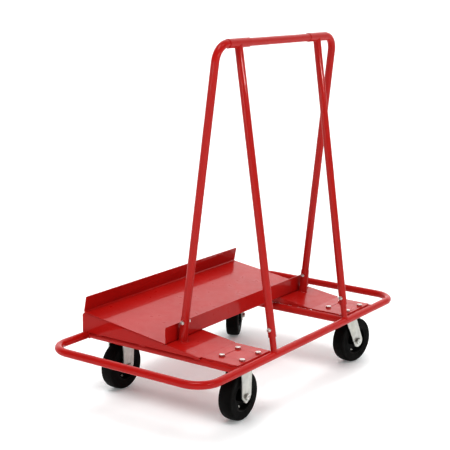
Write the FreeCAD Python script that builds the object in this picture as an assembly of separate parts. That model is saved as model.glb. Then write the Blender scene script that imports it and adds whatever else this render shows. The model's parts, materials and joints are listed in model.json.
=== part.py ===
import FreeCAD, Part
import math, os

# Drywall panel cart: a tube bumper loop on four casters, a sheet-metal tray down
# one side and a leaning tube frame that the panels rest against.
# Millimetres. X along the cart, Y across it toward the tray, Z up, floor at Z = 0,
# origin at the middle of the loop. Suffixes near and far are the -X and +X ends.

# ---- tube stock ---------------------------------------------------------------
TUBE_OD = 25.4
TUBE_WALL = 2.0
TUBE_R = TUBE_OD / 2
STRUT_WALL = 2.4
STUB_OD = 20.2            # spigot that the strut slips over
STUB_WALL = 2.6
SOCKET_OD = 28.4          # socket that the frame leg drops into
SOCKET_WALL = 1.3
SLEEVE_OD = 29.2          # tee sleeve around the rail joints
SLEEVE_WALL = 1.8

# ---- bumper loop and cross tubes ----------------------------------------------
LOOP_HALF_X = 603.2       # to the tube centre line
LOOP_HALF_Y = 299.6
LOOP_BEND = 75.0
LOOP_Z = 194.3
CROSS_OUTER_X = 412.0
CROSS_INNER_X = 232.0
TUBE_TOP = LOOP_Z + TUBE_R

# ---- base plates, pads, gussets and tray ----------------------------------------
PLATE_T = 3.5
PLATE_X = (238.0, 418.0)  # inner and outer edge, mirrored for the other end
PLATE_Y0 = -291.0
BEND_Y = -160.0           # the base plate turns up here to carry the tray
RAMP_END_Y = 60.0
SLOPE = math.radians(7.5)
PAD_Y = (180.0, 285.0)
GUSSET_T = 3.0
GUSSET_X = (427.0, 430.0)
GUSSET_Y = (-157.0, 311.5)
GUSSET_LOW = 206.0        # lower edge, just clear of the cross tube
GUSSET_FOOT = (283.0, 198.0)   # where it steps down over the loop
GUSSET_DROP = 9.0         # back corner below the lip fold
TRAY_SHADOW = 1.6         # gap between the gusset and the tray's end edge
RIB_X = (235.0, 238.0)    # inner wedge, against the base plate's edge
RIB_LOW = 206.8
GROOVE = (2.6, 1.5)       # pressed line between the two inner caster bolts: width, depth
GROOVE_END = 11.0         # stops this far from each bolt
TRAY_HALF_X = 432.0
TRAY_T = 2.5
TRAY_Y = (-31.0, 304.0)   # inner fold, outer fold
FLANGE_H = 55.5
LIP_H = 54.5
LIP_LEAN = math.radians(10.5)
FOLD_R = 2.0
LIP_FOLD_R = 4.0
CORNER_R = 5.0

# ---- upright frame --------------------------------------------------------------
RAIL_Y = -147.8
RAIL_Z = 1151.0
RAIL_CORNER_X = 344.0
LEG_BEND = 52.0
LEG_FOOT_X = 364.7
LEG_FOOT_Y = -47.0
LEG_LIFT = 8.0            # leg end above the socket's floor
SOCKET_LEN = 82.0
LEG_BOLT_AT = 64.0        # up the leg from its foot
STRUT_FOOT_X = 226.0
STRUT_TOP_X = 233.0
STRUT_START = 58.0        # strut end above the loop centre, along its own axis
STUB_LEN = 118.0
STRUT_BOLT_AT = 83.0
SLEEVE_X = (177.0, 290.0)
JOINT_X = 236.0           # where bent leg and rail meet inside the sleeve
JOINT_GAP = 0.5
SLIP = 0.2                # radial slip of one tube inside another

# ---- casters --------------------------------------------------------------------
CASTER_X = 328.0
CASTER_Y = 234.0
WHEEL_R = 80.0
WHEEL_W = 46.0
HUB_R = 50.0
HUB_W = 53.0
HUB_BOSS_R = 19.0
HUB_WEB = 12.0
HUB_RIM = 5.0
HUB_TAPER = (2.0, 3.0)    # draft at the boss and inside the rim
RIM_SHY = 1.0             # rim stands this far inside the tyre's faces
TREAD_EDGE = 9.0          # radial depth of the rounded tread
TREAD_KNEE = (0.2, 0.74)  # share of that depth, share of the half width
TREAD_SIDE = (0.58, 0.96)
SLEEVE_AXLE_OD = 20.0
AXLE_FIT = 0.05           # running fit, radial
AXLE_D = 12.0
TOP_PLATE = (114.0, 100.0, 4.5)
HOLE_PITCH = (88.0, 75.0)
MOUNT_OUT = 5.0           # bolts sit this far outboard of the wheel line
PLATE_OUT = 3.0
FORK_T = 4.0
FORK_GAP = 58.0           # between the inner faces of the legs
FORK_HALF_TOP = 28.0
FORK_HALF_LOW = 25.0      # rigid cheek at the axle
FORK_TIP = (10.0, 21.0)   # rigid cheek: tip radius, reach below the axle
FORK_END_R = 22.0         # round end of a swivel cheek
CROWN_T = 5.0
RACE_R = 35.0
RACE_T = 6.0
RACE_GAP = 0.4
KINGPIN_D = 12.7
KINGPIN_HEAD = (12.0, 7.0)   # radius, height
TRAIL = 54.0
SWIVEL_ANGLES = {"c": -11.0, "d": 27.0}   # resting turn of each swivel caster
RIGID_SIDES = {"a": -1, "b": 1}
SWIVEL_SIDES = {"c": -1, "d": 1}

# ---- fasteners --------------------------------------------------------------------
MOUNT_D, MOUNT_AF, MOUNT_HEAD, MOUNT_NUT = 9.5, 16.0, 6.0, 8.0
FRAME_D, FRAME_AF, FRAME_HEAD, FRAME_NUT = 6.4, 11.0, 4.3, 5.5
AXLE_AF, AXLE_HEAD, AXLE_NUT = 19.0, 7.5, 10.0
HOLE_SLACK = 0.4
THREAD_PROUD = 3.0
WASHER_T = 1.6
WASHER_OUT = 2.1          # outside diameter as a multiple of the bolt
CHAMFER = 0.8

V = FreeCAD.Vector
X_AXIS, Y_AXIS, Z_AXIS = V(1, 0, 0), V(0, 1, 0), V(0, 0, 1)


# ---- shape helpers ----------------------------------------------------------------
def rod(a, b, diameter):
    """Solid cylinder from point a to point b."""
    return Part.makeCylinder(diameter / 2, (b - a).Length, a, b - a)


def box(x, y, z):
    """Box from (low, high) pairs along each axis."""
    return Part.makeBox(x[1] - x[0], y[1] - y[0], z[1] - z[0], V(x[0], y[0], z[0]))


def at(shape, point, direction=Z_AXIS):
    """Turn a shape from +Z to a direction and move its origin to a point."""
    placed = shape.copy()
    placed.Placement = FreeCAD.Placement(point, FreeCAD.Rotation(Z_AXIS, direction))
    return placed


def fused(shapes):
    """One clean solid from several touching ones."""
    return shapes[0].multiFuse(shapes[1:]).removeSplitter()


def round_section(point, direction, outside, wall=None):
    """Disc, or ring when a wall is given, square to a direction."""
    disc = Part.Face(Part.Wire(Part.makeCircle(outside / 2, point, direction)))
    if wall is None:
        return disc
    return disc.cut(Part.Face(Part.Wire(Part.makeCircle(outside / 2 - wall, point, direction)))).Faces[0]


def bend_at(before, corner, after, radius):
    """Tangent points, centre, axis and angle in degrees of one bend."""
    u, w = (corner - before).normalize(), (after - corner).normalize()
    turn = u.getAngle(w)
    reach = radius * math.tan(turn / 2)
    axis = u.cross(w).normalize()
    start = corner - u * reach
    return start, corner + w * reach, start + axis.cross(u) * radius, axis, math.degrees(turn), u


def bent_run(points, radius, outside, wall=None, closed=False):
    """Round bar or tube along a polyline whose inner corners are bent to a radius."""
    count = len(points)
    corners = range(count) if closed else range(1, count - 1)
    bends = {i: bend_at(points[i - 1], points[i], points[(i + 1) % count], radius) for i in corners}
    pieces = []
    for start, _, centre, axis, angle, along in bends.values():
        pieces.append(round_section(start, along, outside, wall).revolve(centre, axis, angle))
    for i in range(count if closed else count - 1):
        j = (i + 1) % count
        start = bends[i][1] if i in bends else points[i]
        end = bends[j][0] if j in bends else points[j]
        pieces.append(round_section(start, end - start, outside, wall).extrude(end - start))
    return pieces[0].multiFuse(pieces[1:])


def straight_tube(a, b, outside, wall):
    """Round tube from a to b."""
    return rod(a, b, outside).cut(rod(a, b, outside - 2 * wall))


def along_x(profile, x):
    """Prism from (y, z) corner points, between two X positions."""
    corners = [V(x[0], y, z) for y, z in profile]
    face = Part.Face(Part.makePolygon(corners + corners[:1]))
    return face.extrude(V(x[1] - x[0], 0, 0))


def mirrored(side, low, high):
    """A (low, high) pair for the -1 or +1 side."""
    return (low, high) if side > 0 else (-high, -low)


def fillet_edges(shape, wanted, radius):
    """Round every edge the test accepts."""
    return shape.makeFillet(radius, [edge for edge in shape.Edges if wanted(edge)])


# ---- fasteners --------------------------------------------------------------------
def hexagon(across_flats, height):
    """Hexagonal prism on Z with its rim chamfered on the top side."""
    radius = across_flats / math.sqrt(3)
    corners = [V(radius * math.cos(math.radians(60 * i)), radius * math.sin(math.radians(60 * i)), 0)
               for i in range(7)]
    prism = Part.Face(Part.makePolygon(corners)).extrude(V(0, 0, height))
    cone = Part.makeCone(across_flats / 2 + height * math.sqrt(3), across_flats / 2, height)
    return prism.common(cone)


def hex_bolt(diameter, grip, across_flats, head):
    """Bolt whose head sits under Z = 0 and whose shank runs up through the grip."""
    shank = Part.makeCylinder(diameter / 2, grip)
    tip = Part.makeCone(diameter / 2, diameter / 2 - CHAMFER, CHAMFER, V(0, 0, grip))
    cap = at(hexagon(across_flats, head), V(0, 0, 0), Z_AXIS * -1)
    return fused([cap, shank, tip])


def hex_nut(diameter, across_flats, height):
    """Nut standing on Z = 0."""
    return hexagon(across_flats, height).cut(Part.makeCylinder(diameter / 2, height))


def washer(diameter, outer):
    """Flat washer standing on Z = 0."""
    return Part.makeCylinder(outer / 2, WASHER_T).cut(Part.makeCylinder(diameter / 2, WASHER_T))


# ---- base frame ---------------------------------------------------------------------
def loop_corners():
    x, y = LOOP_HALF_X, LOOP_HALF_Y
    return [V(-x, -y, LOOP_Z), V(x, -y, LOOP_Z), V(x, y, LOOP_Z), V(-x, y, LOOP_Z)]


def loop_envelope():
    """Outside of the bumper loop as a solid bar, used to cope what is welded to it."""
    return bent_run(loop_corners(), LOOP_BEND, TUBE_OD, closed=True)


def cross_tube(x, envelope):
    """Straight tube across the loop with coped ends."""
    a, b = V(x, -LOOP_HALF_Y, LOOP_Z), V(x, LOOP_HALF_Y, LOOP_Z)
    return straight_tube(a, b, TUBE_OD, TUBE_WALL).cut(envelope)


def ramp_z(y):
    """Height of the base plate's sloping top face, which the tray lies on."""
    return TUBE_TOP + PLATE_T / math.cos(SLOPE) + (y - BEND_Y) * math.tan(SLOPE)


def mount_holes(x, y, low, high):
    """Cutters for one caster's four bolts."""
    diameter = MOUNT_D + 2 * HOLE_SLACK
    return [rod(V(px, py, low), V(px, py, high), diameter) for px, py in mount_points(x, y)]


def mount_points(x, y):
    """Bolt positions of the caster whose wheel is centred on (x, y)."""
    y += math.copysign(MOUNT_OUT, y)
    return [(x + i * HOLE_PITCH[0] / 2, y + j * HOLE_PITCH[1] / 2) for i in (-1, 1) for j in (-1, 1)]


def base_plate(side):
    """Folded plate: flat over the caster, then sloping up under the tray."""
    rise = (RAMP_END_Y - BEND_Y) * math.tan(SLOPE)
    top = TUBE_TOP + PLATE_T
    bend_back = PLATE_T * math.tan(SLOPE / 2)
    profile = [(PLATE_Y0, TUBE_TOP), (BEND_Y, TUBE_TOP), (RAMP_END_Y, TUBE_TOP + rise),
               (RAMP_END_Y, ramp_z(RAMP_END_Y)), (BEND_Y - bend_back, top), (PLATE_Y0, top)]
    plate = fused([along_x(profile, mirrored(side, *PLATE_X)), ramp_wing(side)])
    holes = mount_holes(side * CASTER_X, -CASTER_Y, TUBE_TOP - 1, top + 1)
    return plate.cut(holes + [plate_groove(side * CASTER_X, top)])


def plate_groove(x, top):
    """Cutter for the pressed line between the two bolts nearer the tray."""
    width, depth = GROOVE
    half = HOLE_PITCH[0] / 2 - GROOVE_END
    y = max(point[1] for point in mount_points(x, -CASTER_Y))
    return box((x - half, x + half), (y - width / 2, y + width / 2), (top - depth, top + 1))


def ramp_wing(side):
    """Outer strip of the slope, out to the end gusset."""
    (y0, _), y1 = GUSSET_Y, RAMP_END_Y
    drop = PLATE_T / math.cos(SLOPE)
    profile = [(y0, ramp_z(y0) - drop), (y1, ramp_z(y1) - drop), (y1, ramp_z(y1)), (y0, ramp_z(y0))]
    return along_x(profile, mirrored(side, PLATE_X[1], GUSSET_X[0]))


def caster_pad(side):
    """Flat plate under the tray for the caster on the tray side."""
    pad = box(mirrored(side, *PLATE_X), PAD_Y, (TUBE_TOP, TUBE_TOP + PLATE_T))
    return pad.cut(mount_holes(side * CASTER_X, CASTER_Y, TUBE_TOP - 1, TUBE_TOP + PLATE_T + 1))


def end_gusset(side, envelope):
    """Wedge plate closing the end between the base tubes and the sloping sheets."""
    (y0, back), (step, foot) = GUSSET_Y, GUSSET_FOOT
    inner, fold = TRAY_Y
    under = [(y, ramp_z(y) - TRAY_SHADOW) for y in (fold, inner)]
    profile = [(y0, GUSSET_LOW), (step, GUSSET_LOW), (step, foot), (back, foot),
               (back, ramp_z(fold) - GUSSET_DROP)] + under + [(inner, ramp_z(inner)), (y0, ramp_z(y0))]
    return along_x(profile, mirrored(side, *GUSSET_X)).cut(envelope)


def tray_rib(side, envelope):
    """Inner wedge: closes the base plate's slope and carries the tray behind it."""
    y0, y1 = GUSSET_Y[0], PAD_Y[1]
    profile = [(y0, RIB_LOW), (y1, RIB_LOW), (y1, ramp_z(y1)), (y0, ramp_z(y0))]
    return along_x(profile, mirrored(side, *RIB_X)).cut(envelope)


def tray():
    """One folded sheet: upright inner flange, sloping deck, leaning outer lip."""
    c, grade = math.cos(SLOPE), math.tan(SLOPE)
    lean_s, lean_c = math.sin(LIP_LEAN), math.cos(LIP_LEAN)
    (y0, y1), t = TRAY_Y, TRAY_T
    z0, z1 = ramp_z(y0), ramp_z(y1)
    deck0 = z0 + t / c + t * grade
    lip_out = (y1 - LIP_H * lean_s, z1 + LIP_H * lean_c)
    lip_in = (lip_out[0] - t * lean_c, lip_out[1] - t * lean_s)
    up = t * (1 / c + lean_s - lean_c * grade) / (lean_c + lean_s * grade)
    foot_in = (y1 - t * lean_c - up * lean_s, z1 - t * lean_s + up * lean_c)
    profile = [(y0, z0), (y1, z1), lip_out, lip_in, foot_in,
               (y0 + t, deck0), (y0 + t, z0 + FLANGE_H), (y0, z0 + FLANGE_H)]
    sheet = along_x(profile, (-TRAY_HALF_X, TRAY_HALF_X))

    def runs_along(edge):
        return edge.Length > TRAY_HALF_X

    def near_fold(edge, fold, reach):
        point = edge.Vertexes[0].Point
        return runs_along(edge) and math.hypot(point.y - fold[0], point.z - fold[1]) < reach

    for fold, radius in ((foot_in, LIP_FOLD_R), ((y0 + t, deck0), FOLD_R),
                         ((y1, z1), LIP_FOLD_R + t), ((y0, z0), FOLD_R + t)):
        sheet = fillet_edges(sheet, lambda e, f=fold: near_fold(e, f, t / 2), radius)

    def top_corner(edge):
        middle = (edge.Vertexes[0].Point + edge.Vertexes[-1].Point) * 0.5
        upper = middle.z > z0 + FLANGE_H - t if middle.y < 0 else middle.z > lip_in[1] - t
        return abs(abs(middle.x) - TRAY_HALF_X) < t / 2 and upper and edge.Length < 2 * t

    return fillet_edges(sheet, top_corner, CORNER_R)


# ---- upright frame ------------------------------------------------------------------
def leg_axis(side):
    """Foot point on the sloping plate and the corner where the leg meets the rail line."""
    foot = V(side * LEG_FOOT_X, LEG_FOOT_Y, ramp_z(LEG_FOOT_Y))
    return foot, V(side * RAIL_CORNER_X, RAIL_Y, RAIL_Z)


def strut_axis(side):
    """Point on the loop centre line and point on the rail centre line."""
    return V(side * STRUT_FOOT_X, -LOOP_HALF_Y, LOOP_Z), V(side * STRUT_TOP_X, RAIL_Y, RAIL_Z)


def on_axis(ends, distance):
    """Point a distance up from the lower end."""
    return ends[0] + (ends[1] - ends[0]).normalize() * distance


def across(ends):
    """Direction square to an upright, as near to X as it can be."""
    along = (ends[1] - ends[0]).normalize()
    return (X_AXIS - along * along.x).normalize()


def cross_hole(ends, distance):
    """Cutter for the bolt through an upright."""
    point, reach = on_axis(ends, distance), across(ends) * SOCKET_OD
    return rod(point - reach, point + reach, FRAME_D + 2 * HOLE_SLACK)


def below_ramp():
    """Everything under the sloping face, used to trim what stands on it."""
    deep = SOCKET_OD
    y0, y1 = TRAY_Y[0] - 3 * deep, TRAY_Y[0] + deep
    profile = [(y0, ramp_z(y0) - 2 * deep), (y1, ramp_z(y1) - 2 * deep), (y1, ramp_z(y1)), (y0, ramp_z(y0))]
    return along_x(profile, (-LOOP_HALF_X, LOOP_HALF_X))


def leg_socket(side):
    ends = leg_axis(side)
    shell = straight_tube(on_axis(ends, -SOCKET_WALL * 2), on_axis(ends, SOCKET_LEN), SOCKET_OD, SOCKET_WALL)
    return shell.cut([below_ramp(), cross_hole(ends, LEG_BOLT_AT)])


def bent_leg(side):
    """Leg that leans back, bends over and runs into the tee sleeve."""
    ends = leg_axis(side)
    points = [on_axis(ends, LEG_LIFT), ends[1], V(side * (JOINT_X + JOINT_GAP), RAIL_Y, RAIL_Z)]
    leg = bent_run(points, LEG_BEND, TUBE_OD, TUBE_WALL)
    return leg.cut(cross_hole(ends, LEG_BOLT_AT))


def top_rail():
    end = JOINT_X - JOINT_GAP
    return straight_tube(V(-end, RAIL_Y, RAIL_Z), V(end, RAIL_Y, RAIL_Z), TUBE_OD, TUBE_WALL)


def tee_sleeve(side):
    low, high = mirrored(side, *SLEEVE_X)
    return straight_tube(V(low, RAIL_Y, RAIL_Z), V(high, RAIL_Y, RAIL_Z), SLEEVE_OD, SLEEVE_WALL)


def strut_stub(side, envelope):
    """Spigot welded on the loop."""
    ends = strut_axis(side)
    stub = straight_tube(ends[0], on_axis(ends, STUB_LEN), STUB_OD, STUB_WALL)
    x = side * CROSS_INNER_X
    neighbour = rod(V(x, -LOOP_HALF_Y, LOOP_Z), V(x, 0, LOOP_Z), TUBE_OD)
    return stub.cut([envelope, neighbour, cross_hole(ends, STRUT_BOLT_AT)])


def strut(side):
    """Brace from the spigot up to the tee sleeve."""
    ends = strut_axis(side)
    brace = straight_tube(on_axis(ends, STRUT_START), ends[1], TUBE_OD, STRUT_WALL)
    sleeve = rod(V(-RAIL_CORNER_X, RAIL_Y, RAIL_Z), V(RAIL_CORNER_X, RAIL_Y, RAIL_Z), SLEEVE_OD)
    return brace.cut([sleeve, cross_hole(ends, STRUT_BOLT_AT)])


def frame_fasteners():
    """Cross bolts with washers and nuts through both legs and both struts."""
    spots = [(leg_axis(side), LEG_BOLT_AT, SOCKET_OD / 2) for side in (-1, 1)]
    spots += [(strut_axis(side), STRUT_BOLT_AT, TUBE_R) for side in (-1, 1)]
    bolts, nuts, washers = [], [], []
    for ends, distance, radius in spots:
        point, way = on_axis(ends, distance), across(ends)
        left, right = point - way * (radius + WASHER_T), point + way * radius
        grip = 2 * radius + 2 * WASHER_T + FRAME_NUT + THREAD_PROUD
        bolts.append(at(hex_bolt(FRAME_D, grip, FRAME_AF, FRAME_HEAD), left, way))
        washers += [at(washer(FRAME_D, WASHER_OUT * FRAME_D), spot, way) for spot in (left, right)]
        nuts.append(at(hex_nut(FRAME_D, FRAME_AF, FRAME_NUT), right + way * WASHER_T, way))
    return bolts, nuts, washers


# ---- casters ------------------------------------------------------------------------
def caster_at(side_x, side_y):
    return V(side_x * CASTER_X, side_y * CASTER_Y, TUBE_TOP)


def turned(shape, centre, degrees):
    """Turn a shape about the vertical line through a point."""
    result = shape.copy()
    result.rotate(centre, Z_AXIS, degrees)
    return result


def top_plate(centre):
    """Bolt-on plate with rounded corners and four holes."""
    x, y, t = TOP_PLATE
    plate = box((-x / 2, x / 2), (-y / 2, y / 2), (-t, 0))
    plate = fillet_edges(plate, lambda e: abs(e.tangentAt(e.FirstParameter).z) > 0.9, 2 * CORNER_R)
    plate.translate(centre + Y_AXIS * math.copysign(PLATE_OUT, centre.y))
    return plate.cut(mount_holes(centre.x, centre.y, centre.z - t - 1, centre.z + 1))


def tangent_point(corner, centre, radius, sign):
    """Where the line from a corner touches a circle, in the X-Z plane."""
    delta = corner - centre
    spread = math.acos(radius / delta.Length)
    angle = math.atan2(delta.z, delta.x) + sign * spread
    return centre + V(math.cos(angle), 0, math.sin(angle)) * radius


def cheek(corners, bottom):
    """Plate through the corner points, closed by an arc through its lowest point."""
    arc = Part.Arc(corners[-1], bottom, corners[0]).toShape()
    return Part.Face(Part.Wire(Part.makePolygon(corners).Edges + [arc])).extrude(V(0, FORK_T, 0))


def straight_cheek(crown_z, y):
    """Rigid cheek: nearly parallel, drawn in below the axle to a small round tip."""
    radius, reach = FORK_TIP
    tip = V(0, y, WHEEL_R - reach + radius)
    hips = [V(sign * FORK_HALF_LOW, y, WHEEL_R) for sign in (-1, 1)]
    tops = [V(sign * FORK_HALF_TOP, y, crown_z) for sign in (-1, 1)]
    left, right = tangent_point(hips[0], tip, radius, 1), tangent_point(hips[1], tip, radius, -1)
    return cheek([left, hips[0], tops[0], tops[1], hips[1], right], tip - Z_AXIS * radius)


def raked_cheek(crown_z, y):
    """Swivel cheek: swept back to a round end around the axle."""
    axle = V(TRAIL, y, WHEEL_R)
    tops = [V(sign * FORK_HALF_TOP, y, crown_z) for sign in (-1, 1)]
    left, right = (tangent_point(top, axle, FORK_END_R, -sign) for top, sign in zip(tops, (-1, 1)))
    return cheek([left, tops[0], tops[1], right], axle - Z_AXIS * FORK_END_R)


def fork(crown, make_cheek, axle_x):
    """Crown with two cheeks, drilled for the axle, built about the caster's own centre."""
    half = FORK_GAP / 2
    crown_z = crown.BoundBox.ZMin + CROWN_T / 2
    cheeks = [make_cheek(crown_z, y) for y in (half, -half - FORK_T)]
    drill = rod(V(axle_x, -2 * half, WHEEL_R), V(axle_x, 2 * half, WHEEL_R), AXLE_D + 2 * HOLE_SLACK)
    return fused([crown] + cheeks).cut(drill)


def rigid_fork(centre):
    """Fixed fork hanging straight down from its top plate."""
    half = FORK_GAP / 2 + FORK_T
    top = centre.z - TOP_PLATE[2]
    crown = box((-FORK_HALF_TOP, FORK_HALF_TOP), (-half, half), (top - CROWN_T, top))
    shape = fork(crown, straight_cheek, 0)
    shape.translate(V(centre.x, centre.y, 0))
    return shape


def swivel_plate(centre):
    """Top plate with the fixed half of the ball race below it."""
    low = centre - Z_AXIS * (TOP_PLATE[2] + RACE_T)
    race = Part.makeCylinder(RACE_R, RACE_T, low)
    bore = rod(low - Z_AXIS, centre + Z_AXIS, KINGPIN_D)
    return fused([top_plate(centre), race]).cut(bore)


def swivel_fork(centre, degrees):
    """Raked fork whose round crown carries the moving half of the ball race."""
    top = centre.z - TOP_PLATE[2] - RACE_T - RACE_GAP
    crown = Part.makeCylinder(RACE_R, RACE_T, V(0, 0, top - RACE_T))
    bore = rod(V(0, 0, top - 2 * RACE_T), V(0, 0, top + 1), KINGPIN_D + 2 * AXLE_FIT)
    shape = fork(crown, raked_cheek, TRAIL).cut(bore)
    shape.translate(V(centre.x, centre.y, 0))
    return turned(shape, centre, degrees)


def kingpin(centre):
    """Pin from the top plate down through the crown, headed below it."""
    radius, height = KINGPIN_HEAD
    low = centre.z - TOP_PLATE[2] - 2 * RACE_T - 2 * RACE_GAP
    foot = V(centre.x, centre.y, low)
    return fused([rod(foot, centre, KINGPIN_D), Part.makeCylinder(radius, height, foot - Z_AXIS * height)])


def spun(profile):
    """Solid of revolution about Y from (radius, y) corner points and arcs."""
    edges = []
    for a, b in zip(profile, profile[1:] + profile[:1]):
        start, end = V(a[0], a[1], 0), V(b[0], b[1], 0)
        if len(b) > 2:
            edges.append(Part.Arc(start, V(b[2], b[3], 0), end).toShape())
        else:
            edges.append(Part.makeLine(start, end))
    return Part.Face(Part.Wire(edges)).revolve(V(0, 0, 0), Y_AXIS, 360)


def tyre():
    """Solid rubber tyre with a rounded tread, about the wheel centre."""
    half, shoulder = WHEEL_W / 2, WHEEL_R - TREAD_EDGE
    knee = (WHEEL_R - TREAD_EDGE * TREAD_KNEE[0], half * TREAD_KNEE[1])
    mid = (WHEEL_R - TREAD_EDGE * TREAD_SIDE[0], half * TREAD_SIDE[1])
    return spun([(HUB_R, -half), (shoulder, -half), (knee[0], -knee[1], mid[0], -mid[1]),
                 (knee[0], knee[1], WHEEL_R, 0.0), (shoulder, half, mid[0], mid[1]), (HUB_R, half)])


def hub():
    """Wheel centre: rim, thin web and a boss bored for the axle sleeve."""
    bore = SLEEVE_AXLE_OD / 2 + AXLE_FIT
    rim, web, boss, inside = WHEEL_W / 2 - RIM_SHY, HUB_WEB / 2, HUB_W / 2, HUB_R - HUB_RIM
    foot, drawn = HUB_BOSS_R + HUB_TAPER[0], inside - HUB_TAPER[1]
    right = [(bore, boss), (HUB_BOSS_R, boss), (foot, web), (drawn, web), (inside, rim), (HUB_R, rim)]
    left = [(r, -y) for r, y in reversed(right)]
    return spun(right + left)


def wheel_place(shape, centre, offset, degrees):
    """Move a wheel part from its own centre to a caster, then turn it with the fork."""
    placed = shape.copy()
    placed.translate(V(centre.x + offset, centre.y, WHEEL_R))
    return turned(placed, centre, degrees)


def axle_parts():
    """Bolt, nut and sleeve of one axle about the wheel centre."""
    half = FORK_GAP / 2
    outer = half + FORK_T
    grip = 2 * outer + AXLE_NUT + THREAD_PROUD
    bolt = at(hex_bolt(AXLE_D, grip, AXLE_AF, AXLE_HEAD), V(0, -outer, 0), Y_AXIS)
    nut = at(hex_nut(AXLE_D, AXLE_AF, AXLE_NUT), V(0, outer, 0), Y_AXIS)
    wall = (SLEEVE_AXLE_OD - AXLE_D) / 2
    return bolt, nut, straight_tube(V(0, -half, 0), V(0, half, 0), SLEEVE_AXLE_OD, wall)


def mount_fasteners():
    """Caster bolts with heads on the deck plates, washers and nuts below the top plates."""
    bolts, nuts, washers = [], [], []
    stack, down = TOP_PLATE[2] + PLATE_T, Z_AXIS * -1
    grip = stack + WASHER_T + MOUNT_NUT + THREAD_PROUD
    spots = [spot for side_x in (-1, 1) for side_y in (-1, 1)
             for spot in mount_points(side_x * CASTER_X, side_y * CASTER_Y)]
    for x, y in spots:
        high = V(x, y, TUBE_TOP + PLATE_T)
        low = high + down * stack
        bolts.append(at(hex_bolt(MOUNT_D, grip, MOUNT_AF, MOUNT_HEAD), high, down))
        washers.append(at(washer(MOUNT_D, WASHER_OUT * MOUNT_D), low, down))
        nuts.append(at(hex_nut(MOUNT_D, MOUNT_AF, MOUNT_NUT), low + down * WASHER_T, down))
    return bolts, nuts, washers


# ---- assembly -----------------------------------------------------------------------
def save(name, shape):
    if isinstance(shape, list):
        shape = Part.makeCompound(shape)
    shape.exportStep("parts/%s.step" % name)


def build_base():
    envelope = loop_envelope()
    save("bumper_loop", bent_run(loop_corners(), LOOP_BEND, TUBE_OD, TUBE_WALL, closed=True))
    for side, end in ((-1, "near"), (1, "far")):
        save("cross_tube_outer_" + end, cross_tube(side * CROSS_OUTER_X, envelope))
        save("cross_tube_inner_" + end, cross_tube(side * CROSS_INNER_X, envelope))
        save("base_plate_" + end, base_plate(side))
        save("caster_pad_" + end, caster_pad(side))
        save("end_gusset_" + end, end_gusset(side, envelope))
        save("tray_rib_" + end, tray_rib(side, envelope))
        save("strut_stub_" + end, strut_stub(side, envelope))
    save("tray", tray())


def build_upright():
    save("top_rail", top_rail())
    for side, end in ((-1, "near"), (1, "far")):
        save("leg_socket_" + end, leg_socket(side))
        save("bent_leg_" + end, bent_leg(side))
        save("tee_sleeve_" + end, tee_sleeve(side))
        save("strut_" + end, strut(side))
    bolts, nuts, washers = frame_fasteners()
    save("frame_bolts", bolts)
    save("frame_nuts", nuts)
    save("frame_washers", washers)


def build_casters():
    bolt, nut, sleeve = axle_parts()
    tyre_shape, hub_shape = tyre(), hub()
    rigid = {key: caster_at(-1, side) for key, side in RIGID_SIDES.items()}
    for key, centre in rigid.items():
        save("rigid_plate_" + key, top_plate(centre))
        save("rigid_fork_" + key, rigid_fork(centre))
        save("tyre_" + key, wheel_place(tyre_shape, centre, 0, 0))
        save("hub_" + key, wheel_place(hub_shape, centre, 0, 0))
    for name, shape in (("bolts", bolt), ("nuts", nut), ("sleeves", sleeve)):
        save("rigid_axle_" + name, [wheel_place(shape, centre, 0, 0) for centre in rigid.values()])
    for key, side in SWIVEL_SIDES.items():
        centre, degrees = caster_at(1, side), SWIVEL_ANGLES[key]
        save("swivel_plate_" + key, swivel_plate(centre))
        save("kingpin_" + key, kingpin(centre))
        save("swivel_fork_" + key, swivel_fork(centre, degrees))
        for name, shape in (("tyre", tyre_shape), ("hub", hub_shape), ("axle_bolt", bolt),
                            ("axle_nut", nut), ("axle_sleeve", sleeve)):
            save("%s_%s" % (name, key), wheel_place(shape, centre, TRAIL, degrees))
    bolts, nuts, washers = mount_fasteners()
    save("mount_bolts", bolts)
    save("mount_nuts", nuts)
    save("mount_washers", washers)


os.makedirs("parts", exist_ok=True)
build_base()
build_upright()
build_casters()
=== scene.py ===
import bpy, json, math
from mathutils import Vector, Matrix, noise
from mathutils.bvhtree import BVHTree


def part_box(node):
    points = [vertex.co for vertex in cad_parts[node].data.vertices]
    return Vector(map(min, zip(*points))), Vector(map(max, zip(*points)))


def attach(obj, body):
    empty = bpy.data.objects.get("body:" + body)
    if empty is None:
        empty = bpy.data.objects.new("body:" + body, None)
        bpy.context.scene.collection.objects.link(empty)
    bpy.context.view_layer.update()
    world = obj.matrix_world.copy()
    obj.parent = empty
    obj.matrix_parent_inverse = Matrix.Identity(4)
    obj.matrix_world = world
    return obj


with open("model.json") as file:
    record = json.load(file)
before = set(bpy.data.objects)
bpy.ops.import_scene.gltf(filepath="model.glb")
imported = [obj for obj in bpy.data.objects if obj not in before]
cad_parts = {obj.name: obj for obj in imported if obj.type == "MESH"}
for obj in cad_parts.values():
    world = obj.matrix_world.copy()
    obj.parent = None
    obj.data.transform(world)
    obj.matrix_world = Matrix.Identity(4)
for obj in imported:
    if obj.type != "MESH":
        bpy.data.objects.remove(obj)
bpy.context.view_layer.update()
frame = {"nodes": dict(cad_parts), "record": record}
NODES, RECORD = frame["nodes"], frame["record"]
SCENE = bpy.context.scene
X, Y, Z = Vector((1, 0, 0)), Vector((0, 1, 0)), Vector((0, 0, 1))
ENDS = {"near": -1, "far": 1}


# ---- places read from the frame ---------------------------------------------------------------
def middle(node):
    low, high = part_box(node)
    return (low + high) / 2


def half_size(node):
    low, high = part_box(node)
    return (high - low) / 2


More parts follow.
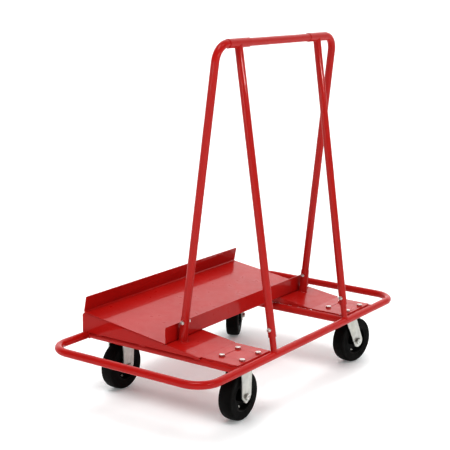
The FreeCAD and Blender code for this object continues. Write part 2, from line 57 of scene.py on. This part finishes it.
TUBE_R = half_size("bumper_loop").z
LOOP_Z = middle("bumper_loop").z
LOOP_SIDE = half_size("bumper_loop").y - TUBE_R        # to the tube centre line
TUBE_TOP = LOOP_Z + TUBE_R


# ---- camera, light and floor ------------------------------------------------------------------
CAMERA_AT = Vector((-3.180, -2.133, 1.375))
CAMERA_TURN = 55.53       # degrees from +Y toward +X
CAMERA_DROP = 12.47       # degrees below the horizon
CAMERA_ROLL = 0.92
SENSOR, LENS = 36.0, 93.54


def make_camera():
    turn, drop, roll = (math.radians(v) for v in (CAMERA_TURN, CAMERA_DROP, CAMERA_ROLL))
    look = Vector((math.sin(turn) * math.cos(drop), math.cos(turn) * math.cos(drop), -math.sin(drop)))
    right = Vector((math.cos(turn), -math.sin(turn), 0))
    up = right.cross(look)
    right, up = right * math.cos(roll) + up * math.sin(roll), up * math.cos(roll) - right * math.sin(roll)
    data = bpy.data.cameras.new("camera")
    data.sensor_width, data.lens = SENSOR, LENS
    data.clip_start, data.clip_end = 0.05, 500
    camera = bpy.data.objects.new("camera", data)
    SCENE.collection.objects.link(camera)
    camera.matrix_world = Matrix.Translation(CAMERA_AT) @ Matrix((right, up, -look)).transposed().to_4x4()
    SCENE.camera = camera


SKY_FRONT, SKY_BACK = 0.24, 1.85      # studio walls: dim before the object, bright behind it
SKY_WAY = (0.80, 0.56, 0.10)          # toward the bright wall
SKY_BLEND = (0.10, 0.95)              # where the dim walls start to brighten, and where they are full
SUNS = (("softbox", (-0.42, -0.12, 1.5), 1.31, 29.0),                    # name, direction, power, angle
        ("sparkle", (0.22, -0.70, 0.75), 0.24, 12.0))
STRIPS = (("strip_front", (-1.45, -3.45, 1.64), (0.55, -3.60, 1.50), 0.10, 24.0),     # two ends, width, power
          ("strip_side", (-3.75, 0.05, 0.60), (-3.75, 0.05, 1.15), 0.13, 15.0))
STRIP_AIM = Vector((0, -0.15, 1.1))


def add_light(data, way):
    """Light object whose beam comes from the direction way."""
    light = bpy.data.objects.new(data.name, data)
    SCENE.collection.objects.link(light)
    light.rotation_mode = "QUATERNION"
    light.rotation_quaternion = way.to_track_quat("Z", "Y")
    return light


def add_strip(name, start, end, wide, power):
    """Long thin area light from start to end, turned toward the top of the cart."""
    data = bpy.data.lights.new(name, "AREA")
    data.shape, data.energy = "RECTANGLE", power
    data.size, data.size_y = (end - start).length, wide
    along = (end - start).normalized()
    back = (start + end) / 2 - STRIP_AIM
    back = (back - along * back.dot(along)).normalized()
    light = bpy.data.objects.new(name, data)
    SCENE.collection.objects.link(light)
    turned = Matrix((along, back.cross(along), back)).transposed().to_4x4()
    light.matrix_world = Matrix.Translation((start + end) / 2) @ turned
    light.visible_camera = False


def make_studio():
    """Bright surrounding walls, one soft overhead sun, one small one for highlights, two strip lights."""
    world = bpy.data.worlds.new("studio")
    world.use_nodes = True
    tree = world.node_tree
    coords = tree.nodes.new("ShaderNodeTexCoord")
    dot = tree.nodes.new("ShaderNodeVectorMath")
    dot.operation = "DOT_PRODUCT"
    dot.inputs[1].default_value = SKY_WAY
    spread = tree.nodes.new("ShaderNodeMapRange")
    spread.interpolation_type = "SMOOTHSTEP"
    for key, value in zip(("From Min", "From Max", "To Min", "To Max"), (*SKY_BLEND, SKY_FRONT, SKY_BACK)):
        spread.inputs[key].default_value = value
    tree.links.new(coords.outputs["Generated"], dot.inputs[0])
    tree.links.new(dot.outputs["Value"], spread.inputs["Value"])
    clean = tree.nodes.new("ShaderNodeMath")      # the backdrop itself is seen as plain white
    clean.operation = "MULTIPLY_ADD"
    clean.inputs[1].default_value = SKY_BACK
    tree.links.new(tree.nodes.new("ShaderNodeLightPath").outputs["Is Camera Ray"], clean.inputs[0])
    tree.links.new(spread.outputs["Result"], clean.inputs[2])
    tree.links.new(clean.outputs["Value"], tree.nodes["Background"].inputs["Strength"])
    tree.nodes["Background"].inputs["Color"].default_value = (1.0, 1.0, 1.0, 1.0)
    SCENE.world = world
    SCENE.view_settings.view_transform = "Standard"
    SCENE.view_settings.look = "Medium High Contrast"
    for name, way, power, angle in SUNS:
        data = bpy.data.lights.new(name, "SUN")
        data.energy, data.angle = power, math.radians(angle)
        add_light(data, Vector(way))
    for name, start, end, wide, power in STRIPS:
        add_strip(name, Vector(start), Vector(end), wide, power)


FLOOR_HALF = 90.0
FLOOR_TONES = (0.895, 0.925, 0.925), (0.925, 0.955, 0.955)
FLOOR_GLOW = 0.11         # lit from below a little, which keeps the shadows pale


def make_floor():
    """Wide pale ground plane; it is stage, not part of the cart."""
    mesh = bpy.data.meshes.new("floor")
    s = FLOOR_HALF
    mesh.from_pydata([(-s, -s, 0), (s, -s, 0), (s, s, 0), (-s, s, 0)], [], [(0, 1, 2, 3)])
    floor = bpy.data.objects.new("floor", mesh)
    SCENE.collection.objects.link(floor)
    paint = Paint("floor_pale", roughness=0.7, specular=0.2)
    paint.colour_noise(*FLOOR_TONES, 1.5)
    paint.shader.inputs["Emission Color"].default_value = (0.96, 1.0, 1.0, 1.0)
    paint.shader.inputs["Emission Strength"].default_value = FLOOR_GLOW
    mesh.materials.append(paint.material)


# ---- materials --------------------------------------------------------------------------------
class Paint:
    """A Principled material built up from procedural layers in object space."""

    def __init__(self, name, roughness=0.4, metallic=0.0, specular=0.5, coat=0.0, coat_roughness=0.05):
        self.material = bpy.data.materials.new(name)
        self.material.use_nodes = True
        self.tree = self.material.node_tree
        self.shader = self.tree.nodes["Principled BSDF"]
        for key, value in (("Roughness", roughness), ("Metallic", metallic),
                           ("Specular IOR Level", specular), ("Coat Weight", coat),
                           ("Coat Roughness", coat_roughness)):
            self.shader.inputs[key].default_value = value
        self.coords = self.tree.nodes.new("ShaderNodeTexCoord").outputs["Object"]
        self.last_normal = None

    def node(self, kind, **values):
        made = self.tree.nodes.new(kind)
        for key, value in values.items():
            made.inputs[key.replace("_", " ")].default_value = value
        return made

    def link(self, a, b):
        self.tree.links.new(a, b)

    def noise(self, scale, detail=4.0, rough=0.55, stretch=None):
        made = self.node("ShaderNodeTexNoise", Scale=scale, Detail=detail, Roughness=rough)
        source = self.coords
        if stretch:
            mapping = self.node("ShaderNodeMapping", Scale=stretch)
            self.link(source, mapping.inputs["Vector"])
            source = mapping.outputs["Vector"]
        self.link(source, made.inputs["Vector"])
        return made.outputs["Fac"]

    def ramp(self, fac, stops, colours):
        made = self.tree.nodes.new("ShaderNodeValToRGB")
        ramp = made.color_ramp
        while len(ramp.elements) < len(stops):
            ramp.elements.new(0.5)
        for element, stop, colour in zip(ramp.elements, stops, colours):
            element.position, element.color = stop, (*colour, 1)
        self.link(fac, made.inputs["Fac"])
        return made.outputs["Color"]

    def spread(self, fac, low, high, start=0.3, end=0.7):
        made = self.tree.nodes.new("ShaderNodeMapRange")
        for key, value in (("From Min", start), ("From Max", end), ("To Min", low), ("To Max", high)):
            made.inputs[key].default_value = value
        self.link(fac, made.inputs["Value"])
        return made.outputs["Result"]

    def mix(self, fac, a, b):
        made = self.tree.nodes.new("ShaderNodeMix")
        made.data_type = "RGBA"
        self.link(fac, made.inputs[0])
        for socket, value in ((made.inputs[6], a), (made.inputs[7], b)):
            if isinstance(value, tuple):
                socket.default_value = (*value, 1)
            else:
                self.link(value, socket)
        return made.outputs[2]

    def colour(self, socket):
        self.link(socket, self.shader.inputs["Base Color"])

    def colour_noise(self, dark, light, scale=6.0):
        self.colour(self.ramp(self.noise(scale), (0.3, 0.7), (dark, light)))

    def rough(self, fac, low, high, start=0.3, end=0.7):
        self.link(self.spread(fac, low, high, start, end), self.shader.inputs["Roughness"])

    def bump(self, height, distance, strength=1.0):
        made = self.node("ShaderNodeBump", Strength=strength, Distance=distance)
        self.link(height, made.inputs["Height"])
        if self.last_normal is not None:
            self.link(self.last_normal, made.inputs["Normal"])
        self.last_normal = made.outputs["Normal"]
        self.link(self.last_normal, self.shader.inputs["Normal"])

    def corners(self, wide=0.52, tight=0.60):
        """0 on flats, rising to 1 on outside edges of the mesh."""
        geometry = self.tree.nodes.new("ShaderNodeNewGeometry")
        return self.spread(geometry.outputs["Pointiness"], 0.0, 1.0, wide, tight)


def red_coat():
    """Glossy red powder coat: orange peel, faint dust, tone drift and slightly rubbed edges."""
    paint = Paint("red_powder_coat", roughness=0.30, specular=0.05, coat=0.21, coat_roughness=0.06)
    paint.shader.inputs["Coat IOR"].default_value = 1.7
    tone = paint.ramp(paint.noise(5.0, 3), (0.25, 0.75), ((0.375, 0.0085, 0.0065), (0.455, 0.011, 0.0085)))
    speck = paint.spread(paint.noise(1100.0, 2), 0.0, 0.5, 0.68, 0.80)
    tone = paint.mix(speck, tone, (0.60, 0.05, 0.04))
    paint.colour(paint.mix(paint.corners(), tone, (0.405, 0.015, 0.012)))
    paint.rough(paint.noise(38.0, 6), 0.26, 0.42)
    paint.bump(paint.noise(700.0, 2), 0.00010, 0.30)
    paint.bump(paint.noise(55.0, 3), 0.0004, 0.06)
    return paint.material


def zinc(name, tint, rough, grain):
    """Bright zinc plate with soft mottling, drawing marks and a trace of handling grime."""
    paint = Paint(name, metallic=1.0)
    dark = tuple(0.70 * c for c in tint)
    tone = paint.ramp(paint.noise(46.0, 6, 0.6), (0.3, 0.72), (dark, tint))
    warm = paint.spread(paint.noise(14.0, 3), 0.0, 0.35, 0.5, 0.75)
    tone = paint.mix(warm, tone, (0.60, 0.57, 0.46))
    paint.colour(paint.mix(paint.corners(), tone, (0.90, 0.89, 0.86)))
    paint.rough(paint.noise(90.0, 5), *rough)
    paint.bump(paint.noise(grain, 3, 0.6, (1, 1, 0.12)), 0.00025, 0.25)
    return paint.material


def rubber():
    """Solid black rubber: fine mould texture and a thin bloom of dust in the relief."""
    paint = Paint("moulded_rubber", roughness=0.6, specular=0.08)
    tone = paint.ramp(paint.noise(30.0, 5), (0.3, 0.75), ((0.0022, 0.0018, 0.0017), (0.0060, 0.0050, 0.0046)))
    dust = paint.spread(paint.noise(9.0, 6, 0.65), 0.0, 0.22, 0.52, 0.80)
    paint.colour(paint.mix(dust, tone, (0.020, 0.018, 0.016)))
    paint.rough(paint.noise(55.0, 4), 0.46, 0.68)
    paint.bump(paint.noise(1500.0, 2), 0.00015, 0.5)
    paint.bump(paint.noise(220.0, 3), 0.0003, 0.15)
    return paint.material


def black_enamel():
    """Semi-gloss black paint on the pressed wheel centre."""
    paint = Paint("black_enamel", roughness=0.4, specular=0.12)
    paint.colour_noise((0.0022, 0.0020, 0.0020), (0.0060, 0.0055, 0.0052), 24.0)
    paint.rough(paint.noise(70.0, 5), 0.34, 0.52)
    paint.bump(paint.noise(700.0, 2), 0.00012, 0.35)
    return paint.material


# ---- mesh pieces ------------------------------------------------------------------------------
def piece(name, verts, faces, slot, body="frame"):
    """Smooth-shaded mesh object that carries a slot's material and rides on a body."""
    mesh = bpy.data.meshes.new(name)
    mesh.from_pydata([tuple(v) for v in verts], [], faces)
    mesh.polygons.foreach_set("use_smooth", [True] * len(mesh.polygons))
    mesh.materials.append(BY_SLOT[slot])
    obj = bpy.data.objects.new(name, mesh)
    SCENE.collection.objects.link(obj)
    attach(obj, body)
    return obj


def circle(axis, sides):
    """Unit vectors spaced around an axis."""
    axis = axis.normalized()
    side = axis.orthogonal().normalized()
    other = axis.cross(side)
    angles = (2 * math.pi * k / sides for k in range(sides))
    return [side * math.cos(t) + other * math.sin(t) for t in angles]


class Builder:
    """Collects swept and turned forms into one mesh."""

    def __init__(self):
        self.verts, self.faces = [], []

    def rings(self, rings, closed):
        """Skin a list of equal rings; an open run is capped at both ends."""
        base, n, count = len(self.verts), len(rings[0]), len(rings)
        for ring in rings:
            self.verts += ring
        for i in range(count if closed else count - 1):
            a, b = base + i * n, base + (i + 1) % count * n
            self.faces += [(a + k, a + (k + 1) % n, b + (k + 1) % n, b + k) for k in range(n)]
        if not closed:
            self.faces.append(tuple(base + k for k in reversed(range(n))))
            self.faces.append(tuple(base + (count - 1) * n + k for k in range(n)))

    def sweep(self, path, normals, radii, sides=8, closed=False):
        """Round section carried along a path."""
        rings, count = [], len(path)
        for i, (point, out, radius) in enumerate(zip(path, normals, radii)):
            before = path[(i - 1) % count] if closed or i else path[0]
            after = path[(i + 1) % count] if closed or i < count - 1 else path[-1]
            along = (after - before).normalized()
            across = along.cross(out).normalized()
            lift = across.cross(along)
            rings.append([point + across * math.cos(t) * radius + lift * math.sin(t) * radius
                          for t in (2 * math.pi * k / sides for k in range(sides))])
        self.rings(rings, closed)

    def turned(self, centre, axis, profile, sides=24):
        """Form turned about an axis from (radius, height) points; zero radii close it."""
        axis, turns = axis.normalized(), circle(axis, sides)
        rings = [[centre + axis * height + way * radius for way in turns] for radius, height in profile]
        self.rings(rings, False)

    def hoop(self, centre, axis, radius, section, sides=96):
        """Ring of small round section about an axis."""
        outs = circle(axis, sides)
        self.sweep([centre + o * radius for o in outs], outs, [section] * sides, closed=True)

    def coil(self, start, axis, radius, pitch, length, section):
        """Thread crests wound along a shank."""
        axis = axis.normalized()
        side = axis.orthogonal().normalized()
        other = axis.cross(side)
        steps = max(8, int(length / pitch * 14))
        path, outs, radii = [], [], []
        for i in range(steps + 1):
            f = i / steps
            t = 2 * math.pi * length / pitch * f
            out = side * math.cos(t) + other * math.sin(t)
            path.append(start + axis * length * f + out * radius)
            outs.append(out)
            radii.append(section * min(1.0, 0.35 + 4 * min(f, 1 - f)))
        self.sweep(path, outs, radii, sides=5)

    def make(self, name, slot, body="frame"):
        return piece(name, self.verts, self.faces, slot, body)


# ---- sizes of the details ---------------------------------------------------------------------
NIL, NICK = 0.00001, 0.0002      # closes a turned form; keeps a ray inside a tube's skin
STUB_R, SOCKET_R = 0.0101, 0.0142
GRADE = math.radians(7.5)        # slope of the tray deck
PLATE_WIDE = 0.180
ROOT_RUN = 0.128                 # bead under the flat part of a base plate's long edges
WHEEL_R, RACE_R = 0.080, 0.035
RIVETS, RIVET_PHASE, RIVET_RING, WEB_HALF = 8, 0.14, 0.0385, 0.006
RIVET_R, RIVET_HIGH = 0.0036, 0.0042
TYRE_RINGS = ((0.0545, 0.0010), (0.0600, 0.0007), (0.0690, 0.0008))      # radius, section
TREAD_RING = (0.74, 0.0022, 0.0007)      # share of the half width, depth, section
HUB_RINGS = ((0.0476, 0.0219, 0.0014), (0.0290, 0.0061, 0.0011), (0.0165, 0.0263, 0.0013))
RACE_LIPS = ((0.0018, 0.0015), (0.0046, 0.0009))                         # rise, section
CROWN_LIP = (0.0018, 0.0015)
NIPPLE = ((0.0024, -0.001), (0.0024, 0.0022), (0.0015, 0.0028), (0.0013, 0.0040), (0.0018, 0.0046),
          (0.0016, 0.0056), (NIL, 0.0060))                               # grease fitting: radius, height
PEEN = ((0.0078, -0.0006), (0.0072, 0.0006), (0.0050, 0.0014), (0.0022, 0.0018), (NIL, 0.0019))
PITCH, THREAD_RUN, THREAD_CREST = 0.0015, 0.0024, 0.0004
HEAD_CROWN = 1.42                # domed part of a bolt head, as a multiple of the bolt's radius
BOLT_SETS = (("mount_bolts", "mount_nuts", 0.00475, "frame"),            # bolts, nuts, radius, body
             ("frame_bolts", "frame_nuts", 0.0032, "frame"),
             ("rigid_axle_bolts", "rigid_axle_nuts", 0.006, "frame"),
             ("axle_bolt_c", "axle_nut_c", 0.006, "swivel_c"),
             ("axle_bolt_d", "axle_nut_d", 0.006, "swivel_d"))
JOINTS = {joint["name"]: joint for joint in RECORD["behaviour"]["joints"]}
SHEETS = {0.0007: ("end_gusset_near", "end_gusset_far"),                 # edge radius: nodes
          0.0008: ("tray", "base_plate_near", "base_plate_far", "caster_pad_near", "caster_pad_far",
                   "rigid_plate_a", "rigid_plate_b"),
          0.0009: ("swivel_fork_c", "swivel_fork_d"),
          0.0010: ("rigid_fork_a", "rigid_fork_b")}


# ---- reading the nodes' own surfaces -----------------------------------------------------------
def skin(*nodes):
    """Search tree over the faces of some nodes."""
    verts, faces = [], []
    for node in nodes:
        mesh, base = NODES[node].data, len(verts)
        verts += [v.co.copy() for v in mesh.vertices]
        faces += [tuple(base + i for i in p.vertices) for p in mesh.polygons]
    return BVHTree.FromPolygons(verts, faces)


def islands(node):
    """Points of each separate solid in a node."""
    mesh, key = NODES[node].data, {}
    spot = [key.setdefault(tuple(round(c, 5) for c in v.co), len(key)) for v in mesh.vertices]
    parent = list(range(len(key)))

    def root(i):
        while parent[i] != i:
            parent[i] = parent[parent[i]]
            i = parent[i]
        return i

    for face in mesh.polygons:
        first = root(spot[face.vertices[0]])
        for i in face.vertices[1:]:
            parent[root(spot[i])] = first
    groups = {}
    for point, i in key.items():
        groups.setdefault(root(i), []).append(Vector(point))
    return list(groups.values())


def box_middle(points):
    """Centre of the box around some points."""
    low, high = (Vector(map(pick, zip(*points))) for pick in (min, max))
    return (low + high) / 2


def bar_axis(node, radius):
    """Centre and upward direction of a straight, leaning round bar, from its box."""
    low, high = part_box(node)
    centre, size, way = (low + high) / 2, high - low, Vector((0, 0, 1))
    for _ in range(6):
        way = Vector([max(0.0, size[i] - 2 * radius * math.sqrt(1 - way[i] ** 2)) for i in range(3)])
        way.normalize()
    points = [v.co for v in NODES[node].data.vertices]
    lean = mean([p for p in points if p.z > centre.z]) - mean([p for p in points if p.z <= centre.z])
    return centre, Vector([math.copysign(way[i], lean[i]) for i in range(3)])


def mean(points):
    return sum(points, Vector()) / len(points)


# ---- welds --------------------------------------------------------------------------------------
RIPPLE = 0.0030       # spacing of the weld ripples
BEAD = 0.0027         # radius of a fillet bead
THIN_BEAD = 0.0022
SLEEVE_RIM = (0.0006, 0.0012)         # rounded end of a tee sleeve: rise above the tube, section
GUSSET_TOP, GUSSET_LOW = (0.30, 0.62, 0.93), (0.03, 0.48, 0.86)      # stitch places along the wedge
PLATE_SIDE = (0.07, 0.30)
PLATE_FRONT = ((0.08, 0.018), (0.5, 0.130), (0.92, 0.018))           # place along the edge, length
PAD_SIDE, RIB_SIDE = (0.25, 0.75), (0.15, 0.5, 0.85)


def resampled(points, spacing, closed):
    """Points spaced evenly along a polyline."""
    run = points + points[:1] if closed else points
    lengths = [(b - a).length for a, b in zip(run, run[1:])]
    total = sum(lengths)
    count = max(8, round(total / spacing))
    made, i, passed = [], 0, 0.0
    for k in range(count if closed else count + 1):
        want = total * k / count
        while i < len(lengths) - 1 and passed + lengths[i] < want:
            passed += lengths[i]
            i += 1
        made.append(run[i].lerp(run[i + 1], min(1.0, (want - passed) / max(lengths[i], 1e-9))))
    return made


def bead(builder, points, out, closed=False, radius=BEAD):
    """Weld bead with stacked ripples and a slightly uneven width. out(point) faces away from the joint."""
    path = resampled(points, RIPPLE / 4, closed)
    count, radii = len(path), []
    for i, point in enumerate(path):
        phase = (i % 4) / 4
        ripple = 0.92 + 0.20 * (1 - abs(2 * phase - 1))
        drift = 1.0 + 0.18 * noise.noise(point * 160)
        fade = 1.0 if closed else min(1.0, 0.35 + 8.0 * min(i, count - 1 - i) / count)
        radii.append(radius * ripple * drift * fade)
    builder.sweep(path, [out(p) for p in path], radii, closed=closed)


def collar(builder, start, way, radius, target, reach=0.3, count=72, size=BEAD):
    """Bead around the foot of a round bar, where its skin runs into the target surface."""
    way = way.normalized()
    points = []
    for out in circle(way, count):
        hit = target.ray_cast(start + out * radius, way, reach)[0]
        if hit is not None:
            points.append(hit)
    if len(points) > count // 2:
        bead(builder, points, lambda p: ((p - start) - way * (p - start).dot(way)).normalized() - way,
             closed=len(points) == count, radius=size)


def stitch(builder, centre, along, out, length=0.022, size=BEAD):
    """Short straight bead."""
    ends = [centre - along * length / 2, centre, centre + along * length / 2]
    bead(builder, ends, lambda p: out, radius=size)


def tube_end_welds(made):
    """Saddle welds where the four cross tubes meet the loop."""
    loop = skin("bumper_loop")
    for kind in ("outer", "inner"):
        for end in ENDS:
            for way in (Y, -Y):
                tube = middle("cross_tube_%s_%s" % (kind, end))
                collar(made, tube, way, TUBE_R - NICK, loop, reach=0.4)


def upright_welds(made):
    """Welds at the strut feet and tops, the leg sockets and the tee sleeves."""
    loop = skin("bumper_loop")
    for end in ENDS:
        centre, way = bar_axis("strut_" + end, TUBE_R)
        collar(made, centre, -way, STUB_R, loop, reach=0.8)
        collar(made, centre, way, TUBE_R - NICK, skin("tee_sleeve_" + end), reach=0.8, size=0.0021)
        centre, way = bar_axis("leg_socket_" + end, SOCKET_R)
        collar(made, centre, -way, SOCKET_R, skin("base_plate_" + end))
        sleeve, reach = middle("tee_sleeve_" + end), half_size("tee_sleeve_" + end).x
        for x in (-reach, reach):
            made.hoop(sleeve + X * x, X, TUBE_R + SLEEVE_RIM[0], SLEEVE_RIM[1], sides=64)


def gusset_welds(made, end, side):
    """Stitches along the top and bottom of the wedge plate and at its foot on the loop."""
    node = "end_gusset_" + end
    (low, high), tray_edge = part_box(node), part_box("tray")[1].y
    face = low.x if side < 0 else high.x
    slope = Vector((0, math.cos(GRADE), math.sin(GRADE)))
    surface = skin(node)
    for share in GUSSET_TOP:
        y = min(low.y + (high.y - low.y) * share, tray_edge - 0.018)
        z = surface.ray_cast(Vector((middle(node).x, y, 2.0)), -Z)[0].z
        stitch(made, Vector((face, y, z - 0.001)), slope, Vector((side, 0, -1)), 0.020, THIN_BEAD)
    tube = middle("cross_tube_outer_" + end).x + side * TUBE_R * 0.9
    for share in GUSSET_LOW:
        y = low.y + (high.y - low.y) * share
        stitch(made, Vector((tube, y, LOOP_Z + TUBE_R * 0.72)), Y, Vector((side, 0, 1)), 0.024)
    stitch(made, Vector((face, LOOP_SIDE, TUBE_TOP)), Y, Vector((side, 0, 1)), 0.018, THIN_BEAD)


def edge_stitches(made, node, shares):
    """Stitches along the two long edges of a flat sheet that lies on the tubes."""
    low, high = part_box(node)
    for x, out in ((low.x, -1), (high.x, 1)):
        for share in shares:
            y = low.y + (high.y - low.y) * share
            stitch(made, Vector((x, y, TUBE_TOP + 0.0004)), Y, Vector((out, 0, 1)))


def plate_welds(made, end, side):
    """Stitches around a base plate: long edges, and the front edge on the loop."""
    node = "base_plate_" + end
    low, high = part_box(node)
    inner = high.x if side < 0 else low.x
    outer = inner + side * PLATE_WIDE
    for x, out in ((inner, -side), (outer, side)):
        for share in PLATE_SIDE:
            y = low.y + (high.y - low.y) * share
            stitch(made, Vector((x, y, TUBE_TOP + 0.0004)), Y, Vector((out, 0, 1)))
        root = Vector((x - out * 0.0010, low.y + ROOT_RUN / 2 + 0.004, TUBE_TOP - 0.0008))
        stitch(made, root, Y, Vector((out, 0, 1)), ROOT_RUN, 0.0015)
    for share, length in PLATE_FRONT:
        x = inner + side * PLATE_WIDE * share
        stitch(made, Vector((x, low.y + 0.0008, TUBE_TOP - 0.0018)), X, Vector((0, -1, 1)), length, 0.0024)


def sheet_welds(made):
    """Stitches that hold the tray, base plates, pads and gussets to the tubes."""
    for end, side in ENDS.items():
        gusset_welds(made, end, side)
        plate_welds(made, end, side)
        edge_stitches(made, "caster_pad_" + end, PAD_SIDE)
        edge_stitches(made, "tray_rib_" + end, RIB_SIDE)


def make_welds():
    """All the welds on the frame, in three pieces."""
    for name, maker in (("weld_tube_ends", tube_end_welds), ("weld_upright", upright_welds),
                        ("weld_sheets", sheet_welds)):
        made = Builder()
        maker(made)
        made.make(name, "red_paint")


# ---- casters -----------------------------------------------------------------------------------
def joint_line(name):
    """Point and direction of a joint in the record."""
    joint = JOINTS[name]
    return Vector(joint["pos_m"]), Vector(joint["axis"]).normalized()


def rivet(builder, point, way, radius, height):
    """Domed rivet head on a small washer."""
    collar_r = radius * 1.45
    profile = [(NIL, -0.001), (collar_r, -0.001), (collar_r, height * 0.2), (radius * 1.3, height * 0.32),
               (radius, height * 0.34)]
    profile += [(max(NIL, radius * math.cos(t)), height * (0.34 + 0.66 * math.sin(t)))
                for t in (math.radians(a) for a in range(15, 91, 15))]
    builder.turned(point, way, profile, sides=20)


def make_wheel(letter):
    """Rivets and pressed rings on the hub, moulded bands on the tyre."""
    centre, way = joint_line("wheel_%s_spin" % letter)
    side = way.orthogonal().normalized()
    other = way.cross(side)
    half = half_size("tyre_a").y
    rivets, bands, rings = Builder(), Builder(), Builder()
    for face in (-1, 1):
        out = way * face
        for k in range(RIVETS):
            t = 2 * math.pi * (k + RIVET_PHASE) / RIVETS
            spot = centre + (side * math.cos(t) + other * math.sin(t)) * RIVET_RING + out * WEB_HALF
            rivet(rivets, spot, out, RIVET_R, RIVET_HIGH)
        for radius, section in TYRE_RINGS:
            bands.hoop(centre + out * (half - section * 0.35), way, radius, section)
        share, depth, section = TREAD_RING
        bands.hoop(centre + out * half * share, way, WHEEL_R - depth, section, sides=128)
        for radius, height, section in HUB_RINGS:
            rings.hoop(centre + out * height, way, radius, section)
    rivets.make("hub_rivets_" + letter, "zinc_fastener", "wheel_" + letter)
    bands.make("tyre_bands_" + letter, "rubber", "wheel_" + letter)
    rings.make("hub_rings_" + letter, "hub_black", "wheel_" + letter)


def make_swivel(letter):
    """Ball race lips, grease fitting and peened kingpin end of a swivel caster."""
    pin, _ = joint_line("swivel_%s_turn" % letter)
    race_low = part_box("swivel_plate_" + letter)[0].z
    crown_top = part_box("swivel_fork_" + letter)[1].z
    pin_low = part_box("kingpin_" + letter)[0].z
    fixed, moving, peen = Builder(), Builder(), Builder()
    for rise, section in RACE_LIPS:
        fixed.hoop(Vector((pin.x, pin.y, race_low + rise)), Z, RACE_R - NICK, section)
    drop, section = CROWN_LIP
    moving.hoop(Vector((pin.x, pin.y, crown_top - drop)), Z, RACE_R - NICK, section)
    moving.turned(Vector((pin.x - RACE_R, pin.y, crown_top - 0.0037)), -X, NIPPLE, sides=12)
    peen.turned(Vector((pin.x, pin.y, pin_low)), -Z, PEEN, sides=32)
    fixed.make("race_rings_" + letter, "zinc_plate")
    moving.make("crown_fittings_" + letter, "zinc_plate", "swivel_" + letter)
    peen.make("kingpin_peen_" + letter, "zinc_plate")


# ---- fasteners ----------------------------------------------------------------------------------
def finish_bolts(builder, bolts, nuts, radius):
    """Thread crests beyond each nut and a low crown on each bolt head."""
    spots = [box_middle(points) for points in islands(nuts)]
    for points in islands(bolts):
        centre = box_middle(points)
        nut = min(spots, key=lambda spot: (spot - centre).length)
        way = (nut - centre).normalized()
        reach = [(p - centre).dot(way) for p in points]
        tip = centre + way * max(reach)
        builder.coil(tip - way * 0.0032, way, radius - 0.0001, PITCH, THREAD_RUN, THREAD_CREST)
        crown = radius * HEAD_CROWN
        dome = [(crown, -0.0004), (crown, 0.0002), (crown * 0.8, 0.0006), (crown * 0.45, 0.0009),
                (NIL, 0.0010)]
        builder.turned(centre + way * min(reach), -way, dome, sides=24)


def make_fasteners():
    """One piece of threads and crowns for each set of bolts."""
    for bolts, nuts, radius, body in BOLT_SETS:
        made = Builder()
        finish_bolts(made, bolts, nuts, radius)
        made.make("trim_" + bolts, "zinc_fastener", body)


# ---- edges of the pressed sheets ----------------------------------------------------------------
def soften(node, width):
    """Roll the sharp edges of a sheet part slightly, so that they catch the light."""
    obj = NODES[node]
    weld = obj.modifiers.new("join", "WELD")
    weld.merge_threshold = 0.00001
    bevel = obj.modifiers.new("roll", "BEVEL")
    bevel.width, bevel.segments, bevel.limit_method = width, 2, "ANGLE"
    bevel.angle_limit = math.radians(40)
    bevel.harden_normals = True


make_camera()
make_studio()
make_floor()
BY_SLOT = {"red_paint": red_coat(),
           "zinc_plate": zinc("zinc_plate", (0.56, 0.55, 0.515), (0.30, 0.48), 260.0),
           "zinc_fastener": zinc("zinc_fastener", (0.47, 0.46, 0.43), (0.22, 0.38), 420.0),
           "rubber": rubber(), "hub_black": black_enamel()}
for part in RECORD["subparts"]:
    for holder in NODES[part["node"]].material_slots:
        holder.material = BY_SLOT[part["material_slot"]]
for width, sheets in SHEETS.items():
    for sheet in sheets:
        soften(sheet, width)
make_welds()
for wheel in "abcd":
    make_wheel(wheel)
for swivel in "cd":
    make_swivel(swivel)
make_fasteners()
